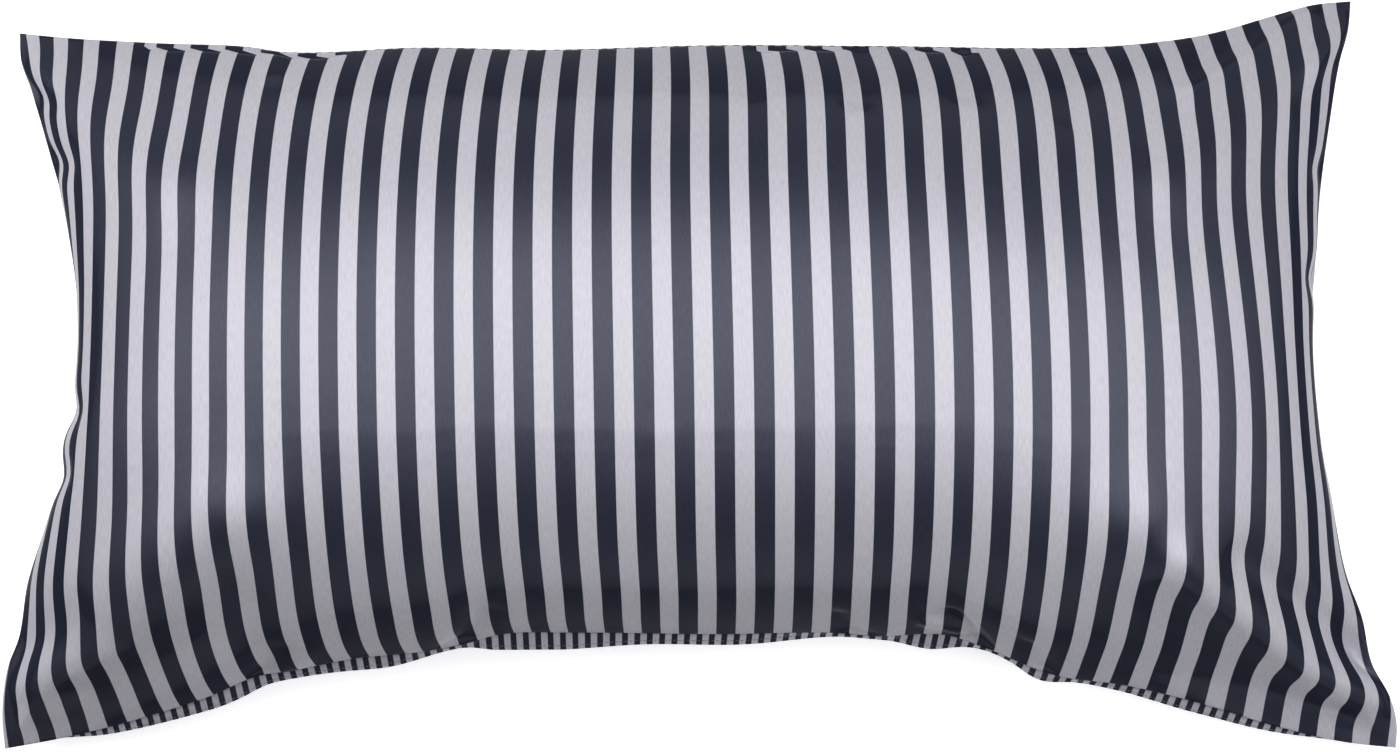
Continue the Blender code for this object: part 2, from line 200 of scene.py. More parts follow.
# Folds of the front panel, each a soft ridge or, with a negative rise, a soft trough.
# calm is the distance over which it fades out at a seam.
FOLDS = (
    # crests from the crown out to the ears
    Fold(0.810, 0.300, 0.985, 0.060, 0.0300, 0.0110, 0.020),
    Fold(0.190, 0.300, 0.020, 0.070, 0.0300, 0.0110, 0.020),
    Fold(0.830, 0.760, 0.975, 0.940, 0.0240, 0.0050, 0.018),
    Fold(0.150, 0.760, 0.020, 0.940, 0.0240, 0.0050, 0.018),
    # right lower ear
    Fold(0.833, 0.267, 0.988, 0.070, 0.0125, 0.0075, 0.004),
    Fold(0.882, 0.262, 0.992, 0.128, 0.0130, -0.0075, 0.004),
    Fold(0.900, 0.110, 0.970, 0.035, 0.0160, -0.0020, 0.006),
    # left lower ear
    Fold(0.012, 0.135, 0.080, 0.203, 0.0110, -0.0018, 0.004),
    Fold(0.020, 0.086, 0.095, 0.147, 0.0100, 0.0018, 0.004),
    Fold(0.002, 0.052, 0.068, 0.086, 0.0100, -0.0014, 0.004),
    # right upper ear
    Fold(0.862, 0.885, 0.958, 0.986, 0.0110, 0.0040, 0.004),
    Fold(0.965, 0.905, 0.995, 0.965, 0.0090, 0.0030, 0.003),
    Fold(0.955, 0.860, 0.985, 0.900, 0.0120, -0.0013, 0.004),
    # pinches along the right seam
    Fold(0.978, 0.775, 0.999, 0.777, 0.0080, -0.0015, 0.002),
    Fold(0.962, 0.630, 0.990, 0.632, 0.0100, -0.0030, 0.003),
    # pinches along the left seam
    Fold(0.003, 0.915, 0.035, 0.900, 0.0080, -0.0030, 0.002),
    Fold(0.008, 0.820, 0.045, 0.812, 0.0090, -0.0030, 0.003),
    Fold(0.010, 0.480, 0.060, 0.472, 0.0110, -0.0040, 0.004),
    Fold(0.006, 0.380, 0.050, 0.388, 0.0110, -0.0035, 0.004),
    # puckers at the hem
    Fold(0.196, 0.000, 0.214, 0.060, 0.0080, -0.0025, 0.002),
    Fold(0.212, 0.000, 0.232, 0.050, 0.0080, 0.0012, 0.002),
    Fold(0.337, 0.000, 0.358, 0.080, 0.0090, -0.0035, 0.002),
    Fold(0.612, 0.000, 0.600, 0.060, 0.0090, -0.0025, 0.002),
    Fold(0.664, 0.052, 0.684, 0.030, 0.0060, 0.0030, 0.002),
    Fold(0.700, 0.000, 0.682, 0.075, 0.0080, -0.0040, 0.002),
    Fold(0.745, 0.000, 0.735, 0.060, 0.0090, -0.0025, 0.002),
    # short pleats under the top seam
    Fold(0.215, 0.940, 0.205, 1.000, 0.0070, 0.0020, 0.002),
    Fold(0.550, 0.880, 0.556, 1.000, 0.0080, -0.0016, 0.002),
    Fold(0.622, 0.860, 0.630, 1.000, 0.0090, -0.0020, 0.002),
    Fold(0.700, 0.880, 0.705, 1.000, 0.0080, -0.0016, 0.002),
    Fold(0.770, 0.850, 0.790, 1.000, 0.0100, -0.0020, 0.002),
    # cloth rolled in along the top seam
    Fold(0.112, 0.988, 0.250, 0.988, 0.0018, -0.0012, 0.001),
    Fold(0.560, 0.988, 0.612, 0.988, 0.0018, -0.0010, 0.001),
    Fold(0.662, 0.988, 0.705, 0.988, 0.0018, -0.0010, 0.001),
    # packing crease across the middle
    Fold(0.180, 0.408, 0.480, 0.384, 0.0090, 0.0004, 0.010),
    Fold(0.480, 0.384, 0.760, 0.404, 0.0090, 0.0004, 0.010),
    Fold(0.200, 0.402, 0.480, 0.374, 0.0015, -0.0003, 0.010),
    Fold(0.480, 0.374, 0.740, 0.398, 0.0015, -0.0003, 0.010),
)

# Stitches along the back's hem lip
STITCH_STEP = 0.0026
STITCH_LENGTH = 0.0019
STITCH_WIDTH = 0.00030
STITCH_HEIGHT = 0.00016
STITCH_INSET = 0.0011
LEAST_SEWN_LIP = 2 * STITCH_INSET
STITCH_SIDES = 6
STITCH_FACES = np.array([0.0, -0.67, 0.74])
STITCH_RINGS = ((0.0, 0.35), (0.25, 1.0), (0.75, 1.0), (1.0, 0.35))  # share along, size

# Weave, with noise scales in patches for each yarn
STRIPE_EDGE = 0.00035    # width over which one yarn colour gives way to the other
TONE_SCALE = 0.35
TONE_DETAIL = 3.0
SLUB_SCALE = 0.02
SLUB_DETAIL = 4.0
TONE_RANGE = (0.85, 1.15)
ROUGHNESS_SPREAD = 0.05
WEAVE_STRENGTH = 0.25
WEAVE_DEPTH = 0.00008

# Sheen by how far the cloth is turned away: from full to least, then up again near the edge
SHEEN_TURNED = (0.15, 0.46)
SHEEN_LEVEL = (1.15, 0.03)
GRAZING_TURNED = (0.72, 1.0)
GRAZING_LEVEL = (0.0, 0.35)
SHEEN_TINT = (0.88, 0.88, 1.0)
SHEEN_STRETCH = 0.35

# Sewing thread
THREAD_DARK = (0.20, 0.20, 0.25)
THREAD_PALE = (0.32, 0.32, 0.38)
THREAD_TWIST_SCALE = 2500.0
THREAD_ROUGHNESS = 0.6

# Floor
FLOOR_REACH = 6.0
FLOOR_MOTTLE_SCALE = 3.0
FLOOR_MOTTLE = 0.985     # colour of the darker patches, as a share of the floor's
FLOOR_ROUGHNESS = 0.9
FLOOR_GLOW = 0.40


class CaseSizes(bpy.types.PropertyGroup):
    """Sizes of the cloth and of its mesh."""

    panel_width: bpy.props.FloatProperty(
        name="Panel width", description="Cloth from seam to seam, across the stripes",
        default=PANEL_WIDTH, unit="LENGTH")
    panel_height: bpy.props.FloatProperty(
        name="Panel height", description="Cloth from the hem to the top seam",
        default=PANEL_HEIGHT, unit="LENGTH")
    crown_height: bpy.props.FloatProperty(
        name="Crown height", description="Highest point of the filled case",
        default=0.178, unit="LENGTH")
    end_seam_height: bpy.props.FloatProperty(
        name="End seam height", description="Middle of the left and right seams",
        default=0.058, unit="LENGTH")
    long_seam_height: bpy.props.FloatProperty(
        name="Long seam height", description="Middle of the top seam and of the hem",
        default=0.066, unit="LENGTH")
    back_thickness: bpy.props.FloatProperty(
        name="Back thickness", description="Thickness of the back panel",
        default=0.0015, unit="LENGTH")
    cells_across: bpy.props.IntProperty(
        name="Cells across", description="Mesh cells across the stripes", default=300)
    cells_along: bpy.props.IntProperty(
        name="Cells along", description="Mesh cells of the front along the stripes", default=150)


class StripeLook(bpy.types.PropertyGroup):
    """Colours and widths of the woven stripes."""

    front_pitch: bpy.props.FloatProperty(
        name="Front pitch", description="One dark and one pale stripe of the front",
        default=PANEL_WIDTH / STRIPE_PAIRS, unit="LENGTH")
    front_dark_share: bpy.props.FloatProperty(
        name="Front dark share", description="Part of the pitch that is dark",
        default=0.51, subtype="FACTOR")
    back_pitch: bpy.props.FloatProperty(
        name="Back pitch", description="One dark and one pale stripe of the back",
        default=PANEL_WIDTH / STRIPE_PAIRS / BACK_PAIRS_PER_FRONT, unit="LENGTH")
    back_dark_share: bpy.props.FloatProperty(
        name="Back dark share", description="Part of the pitch that is dark",
        default=0.47, subtype="FACTOR")
    dark: bpy.props.FloatVectorProperty(
        name="Dark yarn", description="Colour of the dark stripes",
        default=(0.040, 0.044, 0.069), subtype="COLOR", size=3)
    pale: bpy.props.FloatVectorProperty(
        name="Pale yarn", description="Colour of the pale stripes",
        default=(0.55, 0.542, 0.592), subtype="COLOR", size=3)
    roughness: bpy.props.FloatProperty(
        name="Roughness", description="Roughness of the sateen", default=0.54,
        subtype="FACTOR")


class StudioLook(bpy.types.PropertyGroup):
    """Camera, floor and light."""

    camera_height: bpy.props.FloatProperty(
        name="Camera height", description="Camera above the floor", default=2.4, unit="LENGTH")
    lens: bpy.props.FloatProperty(
        name="Lens", description="Focal length in millimetres", default=111.9)
    light_power: bpy.props.FloatProperty(
        name="Light power", description="Power of the large soft light, in watts", default=15.0)
    fill_power: bpy.props.FloatProperty(
        name="Room light", description="Strength of the even light from all sides",
        default=0.02)
    floor: bpy.props.FloatVectorProperty(
        name="Floor", description="Colour of the floor", default=(0.92, 0.92, 0.92),
        subtype="COLOR", size=3)


def column(rows, number, share):
    """Read one column of a table as a smooth curve over its first column."""
    data = np.array(rows, dtype=float)
    x, y = data[:, 0], data[:, number]
    steps = np.diff(y) / np.diff(x)
    slope = np.empty_like(y)
    slope[0], slope[-1] = steps[0], steps[-1]
    slope[1:-1] = (steps[:-1] + steps[1:]) / 2
    share = np.asarray(share, dtype=float)
    low = np.clip(np.searchsorted(x, share, side="right") - 1, 0, len(x) - 2)
    width = x[low + 1] - x[low]
    t = (share - x[low]) / width
    return (
        y[low] * (1 + 2 * t) * (1 - t) ** 2
        + y[low + 1] * t * t * (3 - 2 * t)
        + width * (slope[low] * t * (1 - t) ** 2 - slope[low + 1] * t * t * (1 - t))
    )


def drawn_in(name, share, sizes):
    """How far one edge lies from the straight line between its corners, as vectors."""
    ends = {
        "hem": ("bottom_left", "bottom_right", sizes.long_seam_height),
        "top": ("top_left", "top_right", sizes.long_seam_height),
        "left": ("bottom_left", "top_left", sizes.end_seam_height),
        "right": ("bottom_right", "top_right", sizes.end_seam_height),
    }
    first, last, middle = ends[name]
    start, end = np.array(CORNERS[first]), np.array(CORNERS[last])
    chord = (end - start)[:2]
    inward = np.array([-chord[1], chord[0]]) / np.hypot(*chord)
    if inward @ start[:2] > 0:
        inward = -inward
    plan = np.outer(column(DRAWN_IN[name], 1, share), inward)
    lift = middle - (start[2] + end[2]) / 2
    return np.column_stack([plan, lift * np.sin(np.pi * share) ** SEAM_RISE_POWER])


def lay_cloth(share, turn_low, turn_high, slow_turn, sharpness):
    """Lay a strip of cloth over the crown, level at its middle, turned down at its ends.

    Returns each point's place between the seams, 0 to 1, and its rise, 0 to 1.
    """
    fine = np.linspace(0.0, 1.0, SLOPE_STEPS + 1)
    middle = (fine[:-1] + fine[1:]) / 2
    out = np.abs(2 * middle - 1)
    turn = np.where(middle < 0.5, turn_low, turn_high)
    angle = np.radians(slow_turn * out ** SLOW_POWER + (turn - slow_turn) * out ** sharpness)
    place = np.concatenate([[0.0], np.cumsum(np.cos(angle))])
    climb = np.cumsum(np.sin(angle) * np.where(middle < 0.5, 1.0, -1.0))
    climb = np.concatenate([[0.0], climb])
    top = climb[SLOPE_STEPS // 2]
    rise = np.where(fine < 0.5, climb / top, (climb - climb[-1]) / (top - climb[-1]))
    return np.interp(share, fine, place / place[-1]), np.interp(share, fine, rise)


def graded(cells):
    """Shares from 0 to 1 with smaller cells at both ends."""
    even = np.linspace(0.0, 1.0, cells + 1)
    return even - EDGE_CROWDING * np.sin(2 * np.pi * even) / (2 * np.pi)


def stretch_between_edges(across, along, place_across, place_along, sizes):
    """Span the four edges: each point from its shares and its places between the edges."""
    a = place_across[:, :, None]
    b = place_along[:, :, None]
    corner = {name: np.array(point) for name, point in CORNERS.items()}
    flat = (
        (1 - a) * (1 - b) * corner["bottom_left"]
        + a * (1 - b) * corner["bottom_right"]
        + (1 - a) * b * corner["top_left"]
        + a * b * corner["top_right"]
    )
    left, right = (drawn_in(name, along, sizes)[None] for name in ("left", "right"))
    hem, top = (drawn_in(name, across, sizes)[:, None, :] for name in ("hem", "top"))
    return flat + (1 - a) * left + a * right + (1 - b) * hem + b * top


def front_surface(across, along, sizes):
    """The front panel over the filling, as a grid of points."""
    shape = (len(across), len(along))
    place_across, rise_across = np.empty(shape), np.empty(shape)
    place_along, rise_along = np.empty(shape), np.empty(shape)
    for j, share in enumerate(along):
        turns = [column(ACROSS_TURNS, k, share) for k in (1, 2, 3)]
        place_across[:, j], rise_across[:, j] = lay_cloth(across, *turns, ACROSS_SHARPNESS)
    for i, share in enumerate(across):
        turns = [column(ALONG_TURNS, k, share) for k in (1, 2, 3)]
        place_along[i], rise_along[i] = lay_cloth(along, *turns, ALONG_SHARPNESS)
    points = stretch_between_edges(across, along, place_across, place_along, sizes)
    points[:, :, 2] += (sizes.crown_height - points[:, :, 2]) * rise_across * rise_along
    return points


def underside_surface(across, along, sizes):
    """The underside of the filled form: level where it rests, up to the seams around."""
    shape = (len(across), len(along))
    place_across, place_along = np.empty(shape), np.empty(shape)
    under_across, _ = lay_cloth(across, UNDERSIDE_TURN, UNDERSIDE_TURN, 0, UNDERSIDE_SHARPNESS)
    under_along, _ = lay_cloth(along, UNDERSIDE_TURN, UNDERSIDE_TURN, 0, UNDERSIDE_SHARPNESS)
    for j, share in enumerate(along):
        turns = [column(ACROSS_TURNS, k, round(share)) for k in (1, 2, 3)]
        at_edge, _ = lay_cloth(across, *turns, ACROSS_SHARPNESS)
        inside = np.sin(np.pi * share) ** UNDERSIDE_EASE
        place_across[:, j] = at_edge + (under_across - at_edge) * inside
    for i, share in enumerate(across):
        turns = [column(ALONG_TURNS, k, round(share)) for k in (1, 2, 3)]
        at_edge, _ = lay_cloth(along, *turns, ALONG_SHARPNESS)
        inside = np.sin(np.pi * share) ** UNDERSIDE_EASE
        place_along[i] = at_edge + (under_along - at_edge) * inside
    points = stretch_between_edges(across, along, place_across, place_along, sizes)
    out_x = np.clip((np.abs(2 * across - 1) - CONTACT_ACROSS) / (1 - CONTACT_ACROSS), 0, 1)
    out_y = np.clip((np.abs(2 * along - 1) - CONTACT_ALONG) / (1 - CONTACT_ALONG), 0, 1)
    level = (1 - out_x[:, None] ** UNDERSIDE_POWER) * (1 - out_y[None, :] ** UNDERSIDE_POWER)
    rest = sizes.back_thickness + GAP
    points[:, :, 2] = rest + (points[:, :, 2] - rest) * (1 - level)
    return points


def normals(points):
    """Unit normals of a grid of points, up and out of the front panel."""
    step_x = np.gradient(points, axis=0)
    step_y = np.gradient(points, axis=1)
    normal = np.cross(step_x, step_y)
    return normal / np.linalg.norm(normal, axis=2, keepdims=True)


def fold_amount(fold, across, along, sizes):
    """How strongly one fold acts at each point of the cloth, 0 to 1."""
    width, height = sizes.panel_width, sizes.panel_height
    x, y = across[:, None] * width, along[None, :] * height
    start = np.array([fold.from_across * width, fold.from_up * height])
    run = np.array([fold.to_across * width, fold.to_up * height]) - start
    length = np.hypot(*run)
    run = run / length
    forward = np.clip((x - start[0]) * run[0] + (y - start[1]) * run[1], 0.0, length)
    off_x, off_y = x - start[0] - forward * run[0], y - start[1] - forward * run[1]
    amount = np.exp(-(off_x ** 2 + off_y ** 2) / fold.half_width ** 2)
    from_seam = np.minimum(np.minimum(x, width - x), np.minimum(y, height - y))
    return amount * (1 - np.exp(-(from_seam / fold.calm) ** 2))


def add_folds(points, across, along, sizes):
    """Raise and sink the cloth along its folds, square to its surface."""
    away = normals(points)
    for fold in FOLDS:
        points += away * (fold.rise * fold_amount(fold, across, along, sizes))[:, :, None]
    return points


def flat_cloth(across, along, sizes):
    """Each point's place on the flat cloth."""
    flat = np.empty((len(across), len(along), 2))
    flat[:, :, 0] = across[:, None] * sizes.panel_width
    flat[:, :, 1] = along[None, :] * sizes.panel_height
    return flat


def sideways_slip(points, across, along, sizes):
    """How far the front's cloth has slid to the right over the form, at each point."""
    at_knots = [column(PLACE, k + 1, along) / MM_PER_METRE
                for k in range(len(PLACE_ACROSS))]
    fine = np.linspace(0.0, 1.0, PLACE_STEPS + 1)
    inner = np.clip(across, PLACE_EDGE, 1 - PLACE_EDGE)
    slip = np.empty((len(across), len(along)))
    for j, values in enumerate(np.transpose(at_knots)):
        lies = (fine - 0.5) * sizes.panel_width + column(list(zip(PLACE_ACROSS, values)), 1, fine)
        place = np.interp(inner, across, points[:, j, 0])
        share = np.interp(place, np.maximum.accumulate(lies), fine)
        slip[:, j] = (inner - share) * sizes.panel_width
    return slip + np.outer(np.interp(across, *np.transpose(ROLLED_SLIP)), along > ROLLED_FROM)


def frame_shift(points):
    """The plan shift that puts the laid cloth over the solid that it stands for."""
    low, high = points.reshape(-1, 3).min(axis=0), points.reshape(-1, 3).max(axis=0)
    middle = (low + high) / 2
    return np.array([
        (CASE_LOW[0] + CASE_HIGH[0]) / 2 - middle[0],
        (CASE_LOW[1] + CASE_HIGH[1]) / 2 - middle[1],
        0.0,
    ])


def closed_cloth(name, upper, lower, flat):
    """Close two grids of points into one body with a UV map of the flat cloth."""
    cols, rows = upper.shape[:2]
    count = cols * rows
    index = np.arange(count).reshape(cols, rows)
    low, right = index[:-1, :-1], index[1:, :-1]
    far, up = index[1:, 1:], index[:-1, 1:]
    top_faces = np.stack([low, right, far, up], axis=-1).reshape(-1, 4)
    bottom_faces = np.stack([low, up, far, right], axis=-1).reshape(-1, 4) + count
    ring = np.concatenate([index[:, 0], index[-1, 1:], index[-2::-1, -1], index[0, -2:0:-1]])
    following = np.roll(ring, -1)
    rim = np.stack([following, ring, ring + count, following + count], axis=-1)
    faces = np.concatenate([top_faces, bottom_faces, rim])
    mesh = bpy.data.meshes.new(name)
    mesh.from_pydata(np.concatenate([upper.reshape(-1, 3), lower.reshape(-1, 3)]).tolist(),
                     [], faces.tolist())
    flat = np.concatenate([flat.reshape(-1, 2)] * 2)
    layer = mesh.uv_layers.new(name="cloth")
    layer.data.foreach_set("uv", flat[faces.ravel()].ravel())
    mesh.shade_smooth()
    mesh.set_sharp_from_angle(angle=math.radians(SHARP_ANGLE))
    cloth = bpy.data.objects.new(name, mesh)
    bpy.context.scene.collection.objects.link(cloth)
    return cloth


def maths(tree, operation, first, second=None):
    """Add a Math node fed by sockets or numbers, and return its output."""
    node = tree.nodes.new("ShaderNodeMath")
    node.operation = operation
    for slot, value in enumerate((first, second)):
        if isinstance(value, (int, float)):
            node.inputs[slot].default_value = value
        elif value is not None:
            tree.links.new(value, node.inputs[slot])
    return node.outputs[0]


def ranged(tree, value, to, given=(0.0, 1.0)):
    """Add a Map Range node from one pair of bounds to another, and return its output."""
    node = tree.nodes.new("ShaderNodeMapRange")
    node.inputs["From Min"].default_value, node.inputs["From Max"].default_value = given
    node.inputs["To Min"].default_value, node.inputs["To Max"].default_value = to
    tree.links.new(value, node.inputs["Value"])
    return node.outputs["Result"]


def noise(tree, scale, place=None, detail=None):
    """Add a Noise node, and return its value."""
    node = tree.nodes.new("ShaderNodeTexNoise")
    node.inputs["Scale"].default_value = scale
    if detail is not None:
        node.inputs["Detail"].default_value = detail
    if place is not None:
        tree.links.new(place, node.inputs["Vector"])
    return node.outputs["Fac"]


def mixed(tree, factor, first, second):
    """Add a Mix node between two colours, and return its output."""
    node = tree.nodes.new("ShaderNodeMix")
    node.data_type = "RGBA"
    node.inputs["A"].default_value = (*first, 1.0)
    node.inputs["B"].default_value = (*second, 1.0)
    tree.links.new(factor, node.inputs["Factor"])
    return node.outputs["Result"]


def scaled(tree, vector, scale):
    """Add a node that scales a vector or colour, and return its output."""
    node = tree.nodes.new("ShaderNodeVectorMath")
    node.operation = "SCALE"
    tree.links.new(vector, node.inputs[0])
    tree.links.new(scale, node.inputs["Scale"])
    return node.outputs[0]


def new_group(name, numbers, results):
    """A node group that takes the cloth's places and some numbers, with its two end nodes."""
    group = bpy.data.node_groups.new(name, "ShaderNodeTree")
    face = group.interface
    face.new_socket("Cloth", in_out="INPUT", socket_type="NodeSocketVector")
    for label, value in numbers:
        socket = face.new_socket(label, in_out="INPUT", socket_type="NodeSocketFloat")
        socket.default_value = value
    for label in results:
        face.new_socket(label, in_out="OUTPUT", socket_type="NodeSocketFloat")
    return group, group.nodes.new("NodeGroupInput"), group.nodes.new("NodeGroupOutput")


def new_material(name):
    """A material with nodes, its node tree and its Principled shader."""
    material = bpy.data.materials.new(name)
    material.use_nodes = True
    return material, material.node_tree, material.node_tree.nodes["Principled BSDF"]


def stripe_group():
    """Woven stripes: a mask that is 1 on the dark yarn, from the flat cloth's places."""
    if "woven_stripes" in bpy.data.node_groups:
        return bpy.data.node_groups["woven_stripes"]
    numbers = (("Pitch", 0.02), ("Dark share", 0.5), ("Soft edge", 0.0003))
    group, given, out = new_group("woven_stripes", numbers, ("Dark",))
    split = group.nodes.new("ShaderNodeSeparateXYZ")
    group.links.new(given.outputs["Cloth"], split.inputs[0])
    count = maths(group, "DIVIDE", split.outputs["X"], given.outputs["Pitch"])
    place = maths(group, "FRACT", count)
    half = maths(group, "MULTIPLY", given.outputs["Dark share"], 0.5)
    from_middle = maths(group, "ABSOLUTE", maths(group, "SUBTRACT", place, half))
    wrapped = maths(group, "MINIMUM", from_middle, maths(group, "SUBTRACT", 1.0, from_middle))
    inside = maths(group, "SUBTRACT", half, wrapped)
    inside = maths(group, "MULTIPLY", inside, given.outputs["Pitch"])
    soft = maths(group, "DIVIDE", inside, given.outputs["Soft edge"])
    clamped = group.nodes.new("ShaderNodeClamp")
    group.links.new(maths(group, "ADD", soft, 0.5), clamped.inputs["Value"])
    group.links.new(clamped.outputs[0], out.inputs["Dark"])
    return group


def sateen_group():
    """Sateen weave: long floats of yarn along the stripes, as a height, a tone and slubs."""
    if "sateen_weave" in bpy.data.node_groups:
        return bpy.data.node_groups["sateen_weave"]
    numbers = (("Yarns per metre", 3200.0), ("Float length", 6.0))
    group, given, out = new_group("sateen_weave", numbers, ("Height", "Tone", "Slub"))
    yarns = scaled(group, given.outputs["Cloth"], given.outputs["Yarns per metre"])
    split = group.nodes.new("ShaderNodeSeparateXYZ")
    group.links.new(yarns, split.inputs[0])
    along = maths(group, "DIVIDE", split.outputs["Y"], given.outputs["Float length"])
    joined = group.nodes.new("ShaderNodeCombineXYZ")
    group.links.new(split.outputs["X"], joined.inputs["X"])
    group.links.new(along, joined.inputs["Y"])
    floats = group.nodes.new("ShaderNodeTexVoronoi")
    floats.inputs["Scale"].default_value = 1.0
    group.links.new(joined.outputs[0], floats.inputs["Vector"])
    group.links.new(floats.outputs["Distance"], out.inputs["Height"])
    group.links.new(noise(group, TONE_SCALE, joined.outputs[0], TONE_DETAIL), out.inputs["Tone"])
    group.links.new(noise(group, SLUB_SCALE, joined.outputs[0], SLUB_DETAIL), out.inputs["Slub"])
    return group


def weave_bump(tree, height):
    """Add the bump of the weave, and return its normal."""
    bump = tree.nodes.new("ShaderNodeBump")
    bump.inputs["Strength"].default_value = WEAVE_STRENGTH
    bump.inputs["Distance"].default_value = WEAVE_DEPTH
    tree.links.new(height, bump.inputs["Height"])
    return bump.outputs["Normal"]


def sheen_level(tree):
    """Strength of the sheen by how far the cloth is turned away from the eye."""
    turned = tree.nodes.new("ShaderNodeLayerWeight")
    turned.inputs["Blend"].default_value = 0.5
    sheen = ranged(tree, turned.outputs["Facing"], SHEEN_LEVEL, SHEEN_TURNED)
    grazing = ranged(tree, turned.outputs["Facing"], GRAZING_LEVEL, GRAZING_TURNED)
    return maths(tree, "MAXIMUM", sheen, grazing)


def sateen(name, pitch, dark_share, look):
    """Striped sateen: yarn colours, weave, slight unevenness and a satin sheen."""
    material, tree, shader = new_material(name)
    cloth = tree.nodes.new("ShaderNodeUVMap")
    cloth.uv_map = "cloth"
    stripes = tree.nodes.new("ShaderNodeGroup")
    stripes.node_tree = stripe_group()
    stripes.inputs["Pitch"].default_value = pitch
    stripes.inputs["Dark share"].default_value = dark_share
    stripes.inputs["Soft edge"].default_value = STRIPE_EDGE
    weave = tree.nodes.new("ShaderNodeGroup")
    weave.node_tree = sateen_group()
    for group in (stripes, weave):
        tree.links.new(cloth.outputs["UV"], group.inputs["Cloth"])
    yarn = mixed(tree, stripes.outputs["Dark"], look.pale, look.dark)
    uneven = ranged(tree, weave.outputs["Tone"], TONE_RANGE)
    spread = (look.roughness - ROUGHNESS_SPREAD, look.roughness + ROUGHNESS_SPREAD)
    level = maths(tree, "MULTIPLY", sheen_level(tree), uneven)
    across = tree.nodes.new("ShaderNodeTangent")
    across.direction_type = "UV_MAP"
    across.uv_map = "cloth"
    feeds = {
        "Base Color": scaled(tree, yarn, uneven),
        "Roughness": ranged(tree, weave.outputs["Slub"], spread),
        "Normal": weave_bump(tree, weave.outputs["Height"]),
        "Specular IOR Level": level,
        "Tangent": across.outputs[0],
    }
    for socket, feed in feeds.items():
        tree.links.new(feed, shader.inputs[socket])
    shader.inputs["Specular Tint"].default_value = (*SHEEN_TINT, 1.0)
    shader.inputs["Anisotropic"].default_value = SHEEN_STRETCH
    return material


def thread_material():
    """Matt sewing thread, a little uneven."""
    material, tree, shader = new_material("hem_thread")
    place = tree.nodes.new("ShaderNodeTexCoord")
    twist = noise(tree, THREAD_TWIST_SCALE, place.outputs["Object"])
    tree.links.new(mixed(tree, twist, THREAD_DARK, THREAD_PALE), shader.inputs["Base Color"])
    shader.inputs["Roughness"].default_value = THREAD_ROUGHNESS
    return material


def floor_material(colour):
    """Plain pale floor with a faint mottle and a faint glow."""
    material, tree, shader = new_material("pale_floor")
    darker = [channel * FLOOR_MOTTLE for channel in colour]
    tint = mixed(tree, noise(tree, FLOOR_MOTTLE_SCALE), colour, darker)
    tree.links.new(tint, shader.inputs["Base Color"])
    tree.links.new(tint, shader.inputs["Emission Color"])
    shader.inputs["Roughness"].default_value = FLOOR_ROUGHNESS
    shader.inputs["Emission Strength"].default_value = FLOOR_GLOW
    return material


class PILLOWCASE_OT_front_panel(bpy.types.Operator):
    """Lay the broadly striped front panel over the filling"""

    bl_idname = "pillowcase.front_panel"
    bl_label = "Front panel"

    def execute(self, context):
        sizes, look = context.scene.case_sizes, context.scene.stripe_look
        across, along = graded(sizes.cells_across), graded(sizes.cells_along)
        under = underside_surface(across, along, sizes)
        edge = np.array([0.0, 0.0, EDGE_THICKNESS])
        front = front_surface(across, along, sizes)
        slip = sideways_slip(front, across, along, sizes)
        front = add_folds(front, across, along, sizes) + edge
        front[0, :], front[-1, :] = under[0, :] + edge, under[-1, :] + edge
        front[:, 0], front[:, -1] = under[:, 0] + edge, under[:, -1] + edge
        shift = frame_shift(np.concatenate([front, under]))
        flat = flat_cloth(across, along, sizes)
        flat[:, :, 0] -= slip
        panel = closed_cloth("front_panel", front + shift, under + shift, flat)
        panel.data.materials.append(
            sateen("front_sateen", look.front_pitch, look.front_dark_share, look))
        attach(panel, "root")
        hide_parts("filled_case")
        return {"FINISHED"}


def laid_underside(sizes):
    """The underside as the back panel takes it: shares across and along, and its points."""
    across, along = graded(sizes.cells_across), graded(sizes.cells_along // BACK_CELL_LENGTH)
    return across, along, underside_surface(across, along, sizes)


def seam_taper(across, along, sizes):
    """Share of the full thickness left at each point, less beside the three seams."""
    x, y = across[:, None] * sizes.panel_width, along[None, :] * sizes.panel_height
    from_seam = np.minimum(np.minimum(x, sizes.panel_width - x), sizes.panel_height - y)
    near = np.clip(1 - from_seam / SEAM_TAPER_WIDTH, 0, 1)
    return (1 - (1 - SEAM_TAPER_LEAST) * near ** 2)[:, :, None]


class PILLOWCASE_OT_back_panel(bpy.types.Operator):
    """Lay the finely striped back panel under the filling, with its hem lip"""

    bl_idname = "pillowcase.back_panel"
    bl_label = "Back panel"

    def execute(self, context):
        sizes, look = context.scene.case_sizes, context.scene.stripe_look
        across, along, under = laid_underside(sizes)
        shift = frame_shift(under)
        away = -normals(under)
        inner = under + away * GAP
        outer = under + away * (GAP + sizes.back_thickness * seam_taper(across, along, sizes))
        lip = column(LIP, 1, across)
        for side in (inner, outer):
            side[:, 0, 1] -= lip
            side[:, 0, 2] -= lip * LIP_FALL
        back = closed_cloth("back_panel_cloth", inner + shift, outer + shift,
                            flat_cloth(across, along, sizes))
        back.data.materials.append(
            sateen("back_sateen", look.back_pitch, look.back_dark_share, look))
        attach(back, "root")
        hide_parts("back_panel")
        return {"FINISHED"}


